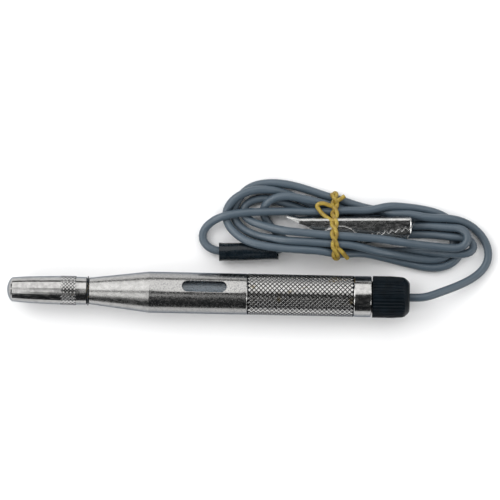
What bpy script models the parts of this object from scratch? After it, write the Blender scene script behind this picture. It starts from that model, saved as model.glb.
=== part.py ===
"""Circuit test light: a pen-shaped probe with a lamp window, a screw cap over the
needle, and a thin lead folded into a hank that ends in a crocodile clip.

Frame: +X from the nose to the end cap, +Z up, metres. The pen lies along X on the
ground plane, centred on the origin, and the hank lies beside it at +Y."""

import math

import bmesh
import bpy
import numpy as np
from mathutils import Matrix, Vector

MM = 0.001

# Pen
PEN_HALF_LENGTH = 63.7 * MM
CAP_RIB_RADIUS = 6.6 * MM
AXIS_HEIGHT = CAP_RIB_RADIUS
NEEDLE_TIP = -60.2 * MM
NEEDLE_RADIUS = 0.9 * MM
NEEDLE_TAPER = 9.0 * MM
GRIP_START = -48.0 * MM
GRIP_END = -29.6 * MM

# Turned outlines, as (along the pen, radius) in millimetres
NOSE_CAP_PROFILE = [
    (-63.70, 0.0),
    (-63.70, 0.9),
    (-63.45, 1.9),
    (-63.05, 2.8),
    (-62.55, 3.5),
    (-62.10, 3.82),
    (-59.80, 4.02),
    (-56.60, 4.22),
    (-53.40, 4.33),
    (-50.20, 4.44),
    (-46.40, 4.53),
    (-43.90, 4.47),
    (-40.70, 4.39),
    (-38.65, 4.37),
    (-38.35, 4.10),
    (-38.35, 3.15),
    (-44.60, 3.15),
    (-44.90, 2.75),
    (-61.20, 2.75),
    (-61.90, 1.60),
    (-62.10, 0.0),
]
BARREL_PROFILE = [
    (-37.85, 4.02),
    (-37.65, 4.20),
    (-18.80, 6.50),
    (51.20, 6.50),
    (51.60, 6.15),
    (51.60, 5.20),
    (-20.00, 5.20),
    (-24.00, 2.50),
    (-37.85, 2.50),
]
FRONT_CONTACT_PROFILE = [
    (-24.70, 0.0),
    (-24.70, 1.3),
    (-18.60, 1.3),
    (-18.60, 3.4),
    (-15.50, 3.4),
    (-14.90, 3.0),
    (-16.20, 1.9),
    (-16.20, 0.0),
]
END_CAP_BORE = [
    (63.70, 1.70),
    (59.80, 1.70),
    (59.80, 3.70),
    (46.90, 3.70),
    (46.90, 4.75),
    (47.10, 4.95),
    (52.00, 4.95),
]

# Window slot in the barrel
WINDOW_START = -8.4 * MM
WINDOW_END = 5.8 * MM
WINDOW_WIDTH = 3.7 * MM
WINDOW_ROLL = math.radians(-21.0)

# Lamp train inside the barrel
LAMP_RADIUS = 3.0 * MM
LAMP_START = -14.5 * MM
LAMP_END = 11.5 * MM
PLUNGER_START = 11.8 * MM
SPRING_START = 14.3 * MM
SPRING_END = 35.6 * MM
TERMINAL_START = 36.0 * MM
CORD_START = 38.0 * MM

# Lead
CORD_RADIUS = 1.3 * MM
CORD_HOLE = 1.7 * MM
GAP = 0.3 * MM

# Crocodile clip: it lies on its side, rolled a little, with its pin nearly upright
CLIP_PIVOT = Vector((41.0 * MM, 18.3 * MM, 4.8 * MM))
CLIP_ROLL = math.radians(15.0)
CLIP_TURN = math.radians(1.4)
CLIP_SHEET = 0.45 * MM
UPPER_HALF_WIDTH = 2.0 * MM
EAR_HALF_WIDTH = 2.75 * MM
EAR_END = 5.4 * MM
TAPER_END = 9.4 * MM
CLIP_TIP = 23.1 * MM
WEB_HEIGHT = 6.5 * MM
BITE_SLOPE = 0.174
TOOTH_PITCH = 2.1 * MM
TOOTH_COUNT = 6
TOOTH_DEPTH = 1.0 * MM
PIN_RADIUS = 0.75 * MM

# Sleeve pushed back along the lead
SLEEVE_START = Vector((3.1 * MM, 13.2 * MM, 3.0 * MM))
SLEEVE_END = Vector((21.9 * MM, 14.0 * MM, 3.0 * MM))
SLEEVE_RADIUS = 2.95 * MM
SLEEVE_BORE = 2.3 * MM

# Band round the hank
BAND_X = 39.9 * MM
BAND_RADIUS = 0.6 * MM

# Hank
HANK_HEIGHT = 10.2 * MM


def clear_scene():
    for item in list(bpy.data.objects):
        bpy.data.objects.remove(item, do_unlink=True)


def make_material(name, colour, roughness, metallic=0.0, transmission=0.0):
    material = bpy.data.materials.new(name)
    material.use_nodes = True
    shader = material.node_tree.nodes["Principled BSDF"]
    shader.inputs["Base Color"].default_value = (*colour, 1.0)
    shader.inputs["Roughness"].default_value = roughness
    shader.inputs["Metallic"].default_value = metallic
    shader.inputs["Transmission Weight"].default_value = transmission
    material.diffuse_color = (*colour, 1.0)
    return material


def add_object(name, mesh_or_curve, material, parent=None):
    item = bpy.data.objects.new(name, mesh_or_curve)
    bpy.context.collection.objects.link(item)
    if material is not None:
        item.data.materials.append(material)
    item.parent = parent
    return item


def mesh_from(builder, name):
    """Turn a bmesh into a mesh with outward faces and soft round sides."""
    bmesh.ops.recalc_face_normals(builder, faces=builder.faces)
    mesh = bpy.data.meshes.new(name)
    builder.to_mesh(mesh)
    builder.free()
    mesh.shade_smooth()
    mesh.set_sharp_from_angle(angle=math.radians(35))
    return mesh


def turned(name, profile, material, parent, segments=48):
    """A closed profile of (along the axis, radius) points spun about the X axis."""
    builder = bmesh.new()
    corners = [builder.verts.new((along, 0.0, radius)) for along, radius in profile]
    edges = [
        builder.edges.new((corners[i], corners[(i + 1) % len(corners)]))
        for i in range(len(corners))
    ]
    bmesh.ops.spin(
        builder,
        geom=corners + edges,
        cent=(0, 0, 0),
        axis=(1, 0, 0),
        steps=segments,
        angle=math.tau,
        use_merge=True,
    )
    bmesh.ops.remove_doubles(builder, verts=builder.verts, dist=1e-6)
    bmesh.ops.dissolve_degenerate(builder, edges=builder.edges, dist=1e-6)
    return add_object(name, mesh_from(builder, name), material, parent)


def prism(name, outline, low, high, material=None, parent=None):
    """An (x, y) outline extruded from height low to height high."""
    builder = bmesh.new()
    base = builder.faces.new([builder.verts.new((x, y, low)) for x, y in outline])
    extruded = bmesh.ops.extrude_face_region(builder, geom=[base])
    lifted = [v for v in extruded["geom"] if isinstance(v, bmesh.types.BMVert)]
    bmesh.ops.translate(builder, verts=lifted, vec=(0, 0, high - low))
    return add_object(name, mesh_from(builder, name), material, parent)


def cut(target, cutter):
    cutter.hide_render = True
    cutter.display_type = "WIRE"
    modifier = target.modifiers.new("cut_" + cutter.name, "BOOLEAN")
    modifier.operation = "DIFFERENCE"
    modifier.solver = "EXACT"
    modifier.object = cutter


def smooth_route(points, spacing, closed=False):
    """Points at an even spacing along a Catmull-Rom curve through the route's points."""
    route = np.array([tuple(p) for p in points], float)
    if closed:
        padded = np.vstack([route[-1], route, route[0], route[1]])
    else:
        padded = np.vstack(
            [2 * route[0] - route[1], route, 2 * route[-1] - route[-2]]
        )
    steps = np.linspace(0.0, 1.0, 24, endpoint=False)[:, None]
    pieces = []
    for a, b, c, d in zip(padded, padded[1:], padded[2:], padded[3:]):
        pieces.append(
            b
            + 0.5 * steps * (c - a)
            + steps**2 * (a - 2.5 * b + 2 * c - 0.5 * d)
            + steps**3 * (1.5 * (b - c) + 0.5 * (d - a))
        )
    dense = np.vstack(pieces + [padded[-2:-1]])
    lengths = np.linalg.norm(np.diff(dense, axis=0), axis=1)
    travelled = np.concatenate([[0.0], np.cumsum(lengths)])
    count = max(2, round(travelled[-1] / spacing)) + 1
    marks = np.linspace(0.0, travelled[-1], count)
    if closed:
        marks = marks[:-1]
    return [
        tuple(float(np.interp(mark, travelled, dense[:, i])) for i in range(route.shape[1]))
        for mark in marks
    ]


def tube(name, points, radius, material, closed=False, resolution=2, parent=None):
    curve = bpy.data.curves.new(name, "CURVE")
    curve.dimensions = "3D"
    curve.bevel_depth = radius
    curve.bevel_resolution = resolution
    curve.use_fill_caps = not closed
    spline = curve.splines.new("POLY")
    spline.points.add(len(points) - 1)
    for point, place in zip(spline.points, points):
        point.co = (*place, 1.0)
    spline.use_cyclic_u = closed
    return add_object(name, curve, material, parent)


def helix(start, end, radius, turns, points_per_turn=12):
    """Points of an even helix about the X axis."""
    count = turns * points_per_turn
    points = []
    for i in range(count + 1):
        share = i / count
        angle = share * turns * math.tau
        along = start + (end - start) * share
        points.append((along, radius * math.sin(angle), radius * math.cos(angle)))
    return points


# ---------------------------------------------------------------- pen


def scaled(profile):
    return [(along * MM, radius * MM) for along, radius in profile]


def nose_cap(material, axis):
    """Closed screw cap: it swells slightly towards its knurled ring."""
    return turned("nose_cap", scaled(NOSE_CAP_PROFILE), material, axis, 40)


def ring(name, start, end, inner, outer, material, parent, segments=36):
    profile = [(start, outer), (end, outer), (end, inner), (start, inner)]
    return turned(name, profile, material, parent, segments)


def probe_needle(material, axis):
    end = GRIP_END - 0.4 * MM
    profile = [
        (NEEDLE_TIP, 0.0),
        (NEEDLE_TIP + 0.15 * MM, 0.12 * MM),
        (NEEDLE_TIP + NEEDLE_TAPER, NEEDLE_RADIUS),
        (end - 0.2 * MM, NEEDLE_RADIUS),
        (end, NEEDLE_RADIUS - 0.2 * MM),
        (end, 0.0),
    ]
    return turned("probe_needle", profile, material, axis, 20)


def probe_collet(material, axis):
    """Turned bush: a split nose that grips the needle, a threaded spigot for the
    nose cap, and a shank pressed into the barrel."""
    grip = NEEDLE_RADIUS + 0.1 * MM
    thread_pitch = 1.0
    thread_starts = [-43.9 + turn * thread_pitch for turn in range(5)]
    profile = [(-47.7, 2.1), (-44.4, 2.1), (-44.2, 2.6)]
    for start in thread_starts:
        profile += [(start, 2.6), (start + 0.3, 2.9), (start + 0.6, 2.9), (start + 0.9, 2.6)]
    profile += [(-38.0, 2.6), (-38.0, 2.4), (-25.2, 2.4), (-25.0, 2.2), (-25.0, 0.0)]
    body = [(GRIP_START, 1.9 * MM)] + scaled(profile)
    body += [(GRIP_END, 0.0), (GRIP_END, grip), (GRIP_START, grip)]
    collet = turned("probe_collet", body, material, axis, 24)
    slit_end = GRIP_START + 2.8 * MM
    slit_half = 0.2 * MM
    outline = [
        (GRIP_START - 1.0 * MM, -slit_half),
        (slit_end, -slit_half),
        (slit_end, slit_half),
        (GRIP_START - 1.0 * MM, slit_half),
    ]
    for number, turn in enumerate((20.0, 110.0)):
        slit = prism(f"collet_slit_{number}", outline, -4 * MM, 4 * MM, parent=axis)
        slit.rotation_euler.x = math.radians(turn)
        cut(collet, slit)
    return collet


def barrel(material, axis):
    tube_body = turned("barrel", scaled(BARREL_PROFILE), material, axis, 64)
    half = WINDOW_WIDTH / 2
    outline = []
    for centre, start in ((WINDOW_END - half, -90), (WINDOW_START + half, 90)):
        for step in range(9):
            angle = math.radians(start + step * 22.5)
            outline.append((centre + half * math.cos(angle), half * math.sin(angle)))
    slot = prism("window_slot", outline, 2 * MM, 8 * MM, parent=axis)
    slot.rotation_euler.x = WINDOW_ROLL
    cut(tube_body, slot)
    return tube_body


def lamp(metal, glass, tungsten, axis):
    """Tubular lamp: glass between two pointed metal caps, with a filament."""
    skirt = LAMP_RADIUS + 0.1 * MM
    shell = LAMP_RADIUS + 0.5 * MM
    tip = 1.2 * MM
    depth = 4.2 * MM
    floor = 2.6 * MM
    for name, start, way in (
        ("lamp_front_cap", LAMP_START, 1),
        ("lamp_rear_cap", LAMP_END, -1),
    ):
        profile = [
            (start, 0.0),
            (start, tip),
            (start + way * 1.6 * MM, shell - 0.3 * MM),
            (start + way * 1.9 * MM, shell),
            (start + way * depth, shell),
            (start + way * depth, skirt),
            (start + way * floor, skirt),
            (start + way * floor, 0.0),
        ]
        turned(name, profile, metal, axis, 24)
    inset = 0.1 * MM
    ring("lamp_glass", LAMP_START + floor + inset, LAMP_END - floor - inset,
         LAMP_RADIUS - 0.5 * MM, LAMP_RADIUS, glass, axis, 32)
    wire = 0.12 * MM
    coil = 0.45 * MM
    middle = (LAMP_START + LAMP_END) / 2
    coil_half = 2.6 * MM
    coiled = helix(middle - coil_half, middle + coil_half, coil, 8, 6)
    ends = LAMP_START + floor + 0.2 * MM, LAMP_END - floor - 0.2 * MM
    filament = [(ends[0], 0, 0)] + coiled + [(ends[1], 0, 0)]
    tube("lamp_filament", filament, wire, tungsten, resolution=0, parent=axis)


def contact_parts(brass, steel, axis):
    turned("front_contact", scaled(FRONT_CONTACT_PROFILE), brass, axis, 24)
    stem = 1.8 * MM
    plunger = [
        (PLUNGER_START, 0.0),
        (PLUNGER_START, 3.3 * MM),
        (PLUNGER_START + 0.3 * MM, 3.6 * MM),
        (SPRING_START - 0.3 * MM, 3.6 * MM),
        (SPRING_START - 0.3 * MM, stem),
        (SPRING_START + 5.7 * MM, stem),
        (SPRING_START + 6.0 * MM, stem - 0.3 * MM),
        (SPRING_START + 6.0 * MM, 0.0),
    ]
    turned("contact_plunger", plunger, brass, axis, 24)
    wire = 0.3 * MM
    points = helix(SPRING_START + wire, SPRING_END - wire, 2.9 * MM, 8)
    tube("contact_spring", points, wire, steel, resolution=1, parent=axis)


def cord_fittings(brass, steel, fibre, axis):
    """Terminal at the lead's end, the collar crimped on the lead, and the washer
    that the end cap carries."""
    hole = CORD_RADIUS + 0.1 * MM
    terminal = [
        (TERMINAL_START, 0.0),
        (TERMINAL_START, 3.7 * MM),
        (TERMINAL_START + 1.2 * MM, 3.7 * MM),
        (TERMINAL_START + 1.2 * MM, 2.0 * MM),
        (TERMINAL_START + 6.0 * MM, 2.0 * MM),
        (TERMINAL_START + 6.0 * MM, hole),
        (CORD_START - GAP, hole),
        (CORD_START - GAP, 0.0),
    ]
    turned("cord_terminal", terminal, brass, axis, 24)
    ring("cord_collar", 53.0 * MM, 57.8 * MM, hole, 2.4 * MM, steel, axis, 24)
    ring("cap_washer", 58.6 * MM, 59.5 * MM, CORD_HOLE, 3.5 * MM, fibre, axis, 24)


def end_cap(material, axis):
    """Black screw cap: lengthways ribs, a rounded shoulder, a flat end with the
    cord's hole, and a threaded spigot inside the barrel."""
    points_per_rib = 4
    around = 36 * points_per_rib
    rib_depth = 0.28 * MM
    stations = [
        (52.00 * MM, 1.0, 0.0),
        (52.25 * MM, 1.0, 1.0),
        (58.50 * MM, 1.0, 1.0),
        (61.40 * MM, 0.965, 1.0),
        (62.20 * MM, 0.93, 0.0),
        (63.20 * MM, 0.80, 0.0),
        (PEN_HALF_LENGTH, 0.69, 0.0),
    ]
    radii = []
    for along, size, ribbed in stations:
        crest = CAP_RIB_RADIUS * size
        groove = (CAP_RIB_RADIUS - rib_depth * ribbed) * size
        rib = [crest, groove, groove, crest]
        radii.append((along, rib * (around // points_per_rib)))
    for along, radius in scaled(END_CAP_BORE):
        radii.append((along, [radius] * around))
    builder = bmesh.new()
    rings = []
    for along, ring_radii in radii:
        loop = []
        for i, radius in enumerate(ring_radii):
            angle = (i + 0.5) / around * math.tau
            place = (along, radius * math.sin(angle), radius * math.cos(angle))
            loop.append(builder.verts.new(place))
        rings.append(loop)
    for first, second in zip(rings, rings[1:] + rings[:1]):
        for i in range(around):
            j = (i + 1) % around
            builder.faces.new((first[i], first[j], second[j], second[i]))
    bmesh.ops.triangulate(builder, faces=builder.faces)
    return add_object("end_cap", mesh_from(builder, "end_cap"), material, axis)


# ---------------------------------------------------------------- clip


def bite_height(along):
    """Height of the line where the two jaws meet."""
    return 0.1 * MM + BITE_SLOPE * along


def tooth_edge(drop):
    """Zigzag along the bite line, from the tip back, lowered by drop."""
    points = [(CLIP_TIP, bite_height(CLIP_TIP) + TOOTH_DEPTH / 2 - drop)]
    for tooth in range(TOOTH_COUNT):
        low = CLIP_TIP - (tooth + 0.5) * TOOTH_PITCH
        high = CLIP_TIP - (tooth + 1.0) * TOOTH_PITCH
        points.append((low, bite_height(low) - TOOTH_DEPTH / 2 - drop))
        points.append((high, bite_height(high) + TOOTH_DEPTH / 2 - drop))
    return points


def channel(name, outline, hollow, width_at, material, pivot):
    """A pressed-sheet channel: the side outline given its width, then hollowed.
    width_at gives the outer half width at each place along the clip."""
    body = side_plate(name, outline, width_at, material, pivot)
    inner = side_plate(name + "_hollow", hollow, lambda x: width_at(x) - CLIP_SHEET, None, pivot)
    cut(body, inner)
    return body


def side_plate(name, outline, width_at, material, pivot):
    builder = bmesh.new()
    base = builder.faces.new([builder.verts.new((x, y, -1.0 * MM)) for x, y in outline])
    extruded = bmesh.ops.extrude_face_region(builder, geom=[base])
    lifted = [v for v in extruded["geom"] if isinstance(v, bmesh.types.BMVert)]
    bmesh.ops.translate(builder, verts=lifted, vec=(0, 0, 2.0 * MM))
    for along in (EAR_END, TAPER_END):
        everything = builder.verts[:] + builder.edges[:] + builder.faces[:]
        bmesh.ops.bisect_plane(
            builder, geom=everything, plane_co=(along, 0, 0), plane_no=(1, 0, 0)
        )
    for vert in builder.verts:
        vert.co.z = math.copysign(width_at(vert.co.x), vert.co.z)
    bmesh.ops.triangulate(builder, faces=builder.faces)
    return add_object(name, mesh_from(builder, name), material, pivot)


def lower_width(along):
    """Outer half width of the lower jaw: wide ears, then the same width as the upper."""
    share = min(1.0, max(0.0, (along - EAR_END) / (TAPER_END - EAR_END)))
    return EAR_HALF_WIDTH + (UPPER_HALF_WIDTH - EAR_HALF_WIDTH) * share


def upper_width(along):
    return UPPER_HALF_WIDTH


def pin_hole(target, pivot, name):
    radius = PIN_RADIUS + 0.1 * MM
    outline = [
        (radius * math.cos(i / 16 * math.tau), radius * math.sin(i / 16 * math.tau))
        for i in range(16)
    ]
    cut(target, prism(name, outline, -4 * MM, 4 * MM, parent=pivot))


def clip_upper_jaw(material, pivot):
    outline = [(CLIP_TIP, WEB_HEIGHT)]
    outline += [(-12.6 * MM, WEB_HEIGHT), (-16.4 * MM, 7.6 * MM), (-16.6 * MM, 7.2 * MM)]
    outline += [(-12.7 * MM, 5.3 * MM), (-11.4 * MM, 4.9 * MM), (-8.5 * MM, 3.6 * MM)]
    outline += [(-4.6 * MM, 1.4 * MM), (-2.2 * MM, -1.0 * MM), (0.0, -1.7 * MM)]
    outline += [(2.2 * MM, -1.0 * MM), (7.0 * MM, 1.2 * MM)]
    outline += reversed(tooth_edge(0.0))
    inside = WEB_HEIGHT - CLIP_SHEET
    hollow = [(CLIP_TIP - CLIP_SHEET, inside), (-13.5 * MM, inside), (-13.5 * MM, -4 * MM)]
    hollow += [(CLIP_TIP - CLIP_SHEET, -4 * MM)]
    jaw = channel("clip_upper_jaw", outline, hollow, upper_width, material, pivot)
    pin_hole(jaw, pivot, "upper_pin_hole")
    return jaw


def clip_lower_jaw(material, pivot):
    outline = tooth_edge(GAP)
    outline += [(9.6 * MM, 1.0 * MM), (7.4 * MM, 0.5 * MM), (6.6 * MM, 1.5 * MM)]
    outline += [(EAR_END, 2.4 * MM), (3.8 * MM, 3.8 * MM)]
    outline += [(1.6 * MM, 4.65 * MM), (-2.0 * MM, 4.65 * MM), (-4.4 * MM, 3.2 * MM)]
    outline += [(-6.4 * MM, 0.2 * MM), (-8.0 * MM, -1.0 * MM), (-13.0 * MM, -1.2 * MM)]
    outline += [(-13.0 * MM, -3.2 * MM), (-1.0 * MM, -3.1 * MM)]
    outline += [(CLIP_TIP - 1.2 * MM, 0.9 * MM), (CLIP_TIP, 1.7 * MM)]
    hollow = [(CLIP_TIP - CLIP_SHEET, 6 * MM), (-14 * MM, 6 * MM)]
    hollow += [(-14 * MM, -3.2 * MM + CLIP_SHEET), (-1.0 * MM, -3.1 * MM + CLIP_SHEET)]
    hollow += [(CLIP_TIP - 1.2 * MM, 0.9 * MM + CLIP_SHEET), (CLIP_TIP - CLIP_SHEET, 2.0 * MM)]
    jaw = channel("clip_lower_jaw", outline, hollow, lower_width, material, pivot)
    pin_hole(jaw, pivot, "lower_pin_hole")
    return jaw


def clip_pin(material, pivot):
    """A headed pin along the clip's own Z axis."""
    head = 1.1 * MM
    outer = EAR_HALF_WIDTH + 0.1 * MM
    end = outer + 0.3 * MM
    profile = [
        (-end, 0.0),
        (-end, head),
        (-outer, head),
        (-outer, PIN_RADIUS),
        (outer, PIN_RADIUS),
        (outer, head),
        (end, head),
        (end, 0.0),
    ]
    pin = turned("clip_pin", profile, material, pivot, 20)
    pin.rotation_euler.y = math.pi / 2
    return pin


def clip_spring(material, pivot):
    """A torsion spring round the pin, with one leg under each lever."""
    wire = 0.25 * MM
    radius = PIN_RADIUS + wire + 0.15 * MM
    half = 0.85 * MM
    turns, per_turn = 3, 12
    count = turns * per_turn
    points = [(-8.0 * MM, 4.9 * MM, -half), (-2.4 * MM, 2.6 * MM, -half)]
    for i in range(count + 1):
        angle = math.radians(115) - i / per_turn * math.tau
        depth = -half + 2 * half * i / count
        points.append((radius * math.cos(angle), radius * math.sin(angle), depth))
    points += [(-3.0 * MM, -1.2 * MM, half), (-8.0 * MM, -2.35 * MM, half)]
    return tube("clip_spring", points, wire, material, resolution=1, parent=pivot)


# ---------------------------------------------------------------- lead

# The lead from its terminal to the hank, in millimetres
LEAD_ROUTE = [
    (38.0, 0.0, 6.6),
    (50.0, 0.0, 6.6),
    (60.0, 0.0, 6.6),
    (65.0, 0.0, 6.6),
    (68.5, 0.1, 6.55),
    (72.8, 1.6, 5.6),
    (78.7, 4.2, 3.6),
    (84.0, 7.2, 2.0),
    (87.3, 10.6, 1.45),
    (88.3, 14.0, 1.35),
    (87.2, 17.8, 1.35),
    (84.5, 21.5, 1.35),
    (80.6, 24.2, 1.6),
    (77.0, 25.3, 2.2),
]

# The lead from the hank to the sleeve's far mouth, in millimetres
TAIL_ROUTE = [
    (2.7, 24.2, 3.3),
    (0.8, 23.1, 2.3),
    (-1.5, 20.9, 1.45),
    (-2.5, 18.1, 1.35),
    (-1.6, 15.6, 1.5),
    (0.4, 13.9, 1.85),
    (3.6, 13.3, 2.1),
    (10.0, 13.55, 2.15),
    (19.0, 13.9, 2.15),
    (22.2, 14.1, 2.25),
    (24.0, 15.1, 3.05),
]


def lead(material):
    start = smooth_route([tuple(v * MM for v in p) for p in LEAD_ROUTE], 4 * CORD_RADIUS)
    tube("cord_lead", start, CORD_RADIUS, material)


def clip_frame():
    roll = Matrix.Rotation(CLIP_ROLL, 4, "X")
    turn = Matrix.Rotation(CLIP_TURN, 4, "Z")
    return Matrix.Translation(CLIP_PIVOT) @ turn @ roll


def tail(material, copper):
    """The lead's last stretch: through the sleeve and into the lower lever."""
    into_clip = clip_frame()
    mouth = into_clip @ Vector((-14.4 * MM, -1.35 * MM, 0.0))
    grip = into_clip @ Vector((-12.2 * MM, -1.3 * MM, 0.0))
    crimp = into_clip @ Vector((-9.3 * MM, -1.3 * MM, 0.0))
    bare_start = into_clip @ Vector((-9.0 * MM, -1.6 * MM, 0.0))
    bare_end = into_clip @ Vector((-4.6 * MM, -2.2 * MM, 0.0))
    route = [tuple(v * MM for v in p) for p in TAIL_ROUTE] + [tuple(mouth), tuple(grip), tuple(crimp)]
    tube("cord_tail", smooth_route(route, 4 * CORD_RADIUS), CORD_RADIUS, material)
    tube("tail_conductor", [tuple(bare_start), tuple(bare_end)], 0.4 * MM, copper, resolution=1)


def sleeve(material):
    along = SLEEVE_END - SLEEVE_START
    body = ring("clip_sleeve", 0.0, along.length, SLEEVE_BORE, SLEEVE_RADIUS, material, None, 32)
    body.location = SLEEVE_START
    body.rotation_euler.z = math.atan2(along.y, along.x)
    return body


def rubber_band(material):
    """A closed loop round the hank and the clip's pivot, in one upright plane."""
    loop = [
        (12.9, 3.0),
        (12.7, 6.6),
        (14.4, 9.6),
        (18.0, 11.0),
        (22.2, 10.7),
        (26.0, 8.2),
        (29.6, 5.9),
        (32.3, 3.8),
        (32.0, 1.4),
        (30.0, 0.64),
        (22.0, 0.62),
        (15.4, 0.64),
        (13.4, 1.2),
    ]
    points = [(BAND_X, y * MM, z * MM) for y, z in loop]
    route = smooth_route(points, 1.6 * MM, closed=True)
    return tube("rubber_band", route, BAND_RADIUS, material, closed=True)


def box_outline(x_low, x_high, y_low, y_high):
    corners = [(x_low, y_low), (x_high, y_low), (x_high, y_high), (x_low, y_high)]
    return [(x * MM, y * MM) for x, y in corners]


def hank(material):
    """The folded lead as one plain solid: a long ring, arched over the clip."""
    outer = [
        (3.6, 24.5),
        (5.0, 29.6),
        (8.9, 33.3),
        (13.5, 35.5),
        (19.5, 36.5),
        (26.5, 35.6),
        (34.0, 33.2),
        (41.0, 30.6),
        (47.0, 29.2),
        (54.0, 29.2),
        (63.0, 30.0),
        (69.5, 29.6),
        (76.2, 27.3),
        (76.6, 22.9),
        (80.6, 21.7),
        (83.3, 19.2),
        (84.7, 16.2),
        (82.4, 12.9),
        (79.2, 9.8),
        (75.0, 8.7),
        (70.0, 8.5),
        (60.6, 10.1),
        (52.0, 12.3),
        (44.0, 13.2),
        (34.0, 13.1),
        (25.0, 14.2),
        (15.0, 15.3),
        (8.0, 17.6),
        (4.6, 21.0),
    ]
    hole = [
        (18.4, 22.8),
        (21.5, 24.9),
        (30.0, 25.4),
        (45.0, 25.6),
        (60.0, 25.7),
        (66.4, 25.0),
        (67.6, 22.0),
        (66.4, 18.9),
        (60.0, 19.2),
        (50.0, 20.2),
        (40.0, 20.7),
        (28.0, 21.4),
        (21.0, 21.5),
    ]
    body = prism("cord_hank", smooth_outline(outer), 0.1 * MM, HANK_HEIGHT, material)
    cut(body, prism("hank_hole", smooth_outline(hole), -1 * MM, 12 * MM))
    clip_room = [(x * MM, y * MM) for x, y in (
        (22.3, 9.0), (44.0, 9.0), (44.0, 13.8), (67.0, 17.8), (67.0, 22.4), (44.0, 22.4),
        (22.3, 22.4),
    )]
    cut(body, prism("clip_room", clip_room, -1 * MM, 8.7 * MM))
    cut(body, prism("sleeve_room", box_outline(-1, 22.4, 9, 17.0), -1 * MM, 8.7 * MM))
    cut(body, prism("upper_trim", box_outline(-2, 90, 22.3, 40), 4.1 * MM, 12 * MM))
    cut(body, prism("band_room", box_outline(37.4, 42.4, 5, 24), -1 * MM, 12 * MM))
    cut(body, prism("band_floor", box_outline(37.4, 42.4, 23.5, 40), -1 * MM, 1.6 * MM))
    cut(body, prism("band_side", box_outline(37.4, 42.4, 30.6, 40), -1 * MM, 12 * MM))
    return body


def smooth_outline(points):
    return smooth_route([(x * MM, y * MM) for x, y in points], 2.2 * MM, closed=True)


# ---------------------------------------------------------------- assembly


def build():
    clear_scene()
    nickel = make_material("nickel_plate", (0.62, 0.61, 0.58), 0.22, 1.0)
    satin_nickel = make_material("satin_nickel", (0.55, 0.54, 0.52), 0.35, 1.0)
    brass = make_material("brass", (0.72, 0.55, 0.25), 0.3, 1.0)
    steel = make_material("spring_steel", (0.45, 0.45, 0.46), 0.3, 1.0)
    copper = make_material("copper", (0.75, 0.38, 0.22), 0.35, 1.0)
    tungsten = make_material("tungsten", (0.3, 0.3, 0.32), 0.4, 1.0)
    dark_ring = make_material("dark_ring", (0.02, 0.025, 0.03), 0.5)
    black_plastic = make_material("black_plastic", (0.01, 0.015, 0.02), 0.4)
    white_plastic = make_material("white_plastic", (0.7, 0.68, 0.62), 0.5)
    fibre = make_material("fibre", (0.35, 0.12, 0.06), 0.7)
    clear_plastic = make_material("clear_plastic", (0.8, 0.85, 0.88), 0.08, 0.0, 0.9)
    glass = make_material("lamp_glass", (0.9, 0.93, 0.95), 0.03, 0.0, 1.0)
    grey_lead = make_material("grey_lead", (0.10, 0.13, 0.16), 0.45)
    black_sleeve = make_material("black_sleeve", (0.01, 0.012, 0.016), 0.3)
    mustard = make_material("mustard_rubber", (0.42, 0.30, 0.04), 0.6)

    pen_axis = add_object("pen_axis", None, None)
    pen_axis.location.z = AXIS_HEIGHT
    nose_cap(nickel, pen_axis)
    ring("nose_washer", -38.25 * MM, -37.95 * MM, 3.1 * MM, 4.63 * MM, dark_ring, pen_axis)
    probe_needle(steel, pen_axis)
    probe_collet(brass, pen_axis)
    barrel(satin_nickel, pen_axis)
    ring("window_tube", -12.0 * MM, 9.2 * MM, 4.2 * MM, 5.0 * MM, clear_plastic, pen_axis)
    lamp(nickel, glass, tungsten, pen_axis)
    contact_parts(brass, steel, pen_axis)
    ring("rear_insulator", 9.6 * MM, 46.4 * MM, 4.0 * MM, 5.0 * MM, white_plastic, pen_axis)
    cord_fittings(brass, steel, fibre, pen_axis)
    end_cap(black_plastic, pen_axis)

    lead(grey_lead)
    hank(grey_lead)
    tail(grey_lead, copper)
    sleeve(black_sleeve)
    rubber_band(mustard)

    pivot = add_object("clip_pivot", None, None)
    pivot.matrix_world = clip_frame()
    clip_upper_jaw(nickel, pivot)
    clip_lower_jaw(nickel, pivot)
    clip_pin(nickel, pivot)
    clip_spring(steel, pivot)


build()
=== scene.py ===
"""Looks of the circuit test light: materials, knurling, lead, band, sleeve, clip and springs."""

import math

import bmesh
import bpy
import numpy as np
from mathutils import Matrix, Vector


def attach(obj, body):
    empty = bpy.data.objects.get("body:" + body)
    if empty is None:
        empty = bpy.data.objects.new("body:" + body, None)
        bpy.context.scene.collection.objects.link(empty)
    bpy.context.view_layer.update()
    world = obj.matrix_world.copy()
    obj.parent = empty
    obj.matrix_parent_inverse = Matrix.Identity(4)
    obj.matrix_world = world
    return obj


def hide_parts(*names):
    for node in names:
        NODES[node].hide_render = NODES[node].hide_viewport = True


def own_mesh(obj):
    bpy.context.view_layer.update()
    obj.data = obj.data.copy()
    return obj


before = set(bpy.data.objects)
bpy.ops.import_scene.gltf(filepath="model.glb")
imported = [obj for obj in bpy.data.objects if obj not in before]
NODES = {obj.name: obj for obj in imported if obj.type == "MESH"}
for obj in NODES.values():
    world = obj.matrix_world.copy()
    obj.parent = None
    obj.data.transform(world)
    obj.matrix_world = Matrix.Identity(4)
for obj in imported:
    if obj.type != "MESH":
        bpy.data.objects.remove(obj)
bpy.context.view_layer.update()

MM = 0.001

# Pen, in metres
AXIS_HEIGHT = 6.6 * MM
BARREL_RADIUS = 6.5 * MM
BARREL_BORE = 5.2 * MM
CONE_END = -18.8 * MM
KNURL_START = 12.3 * MM
KNURL_END = 46.1 * MM
KNURL_DEPTH = 0.16 * MM
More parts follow.
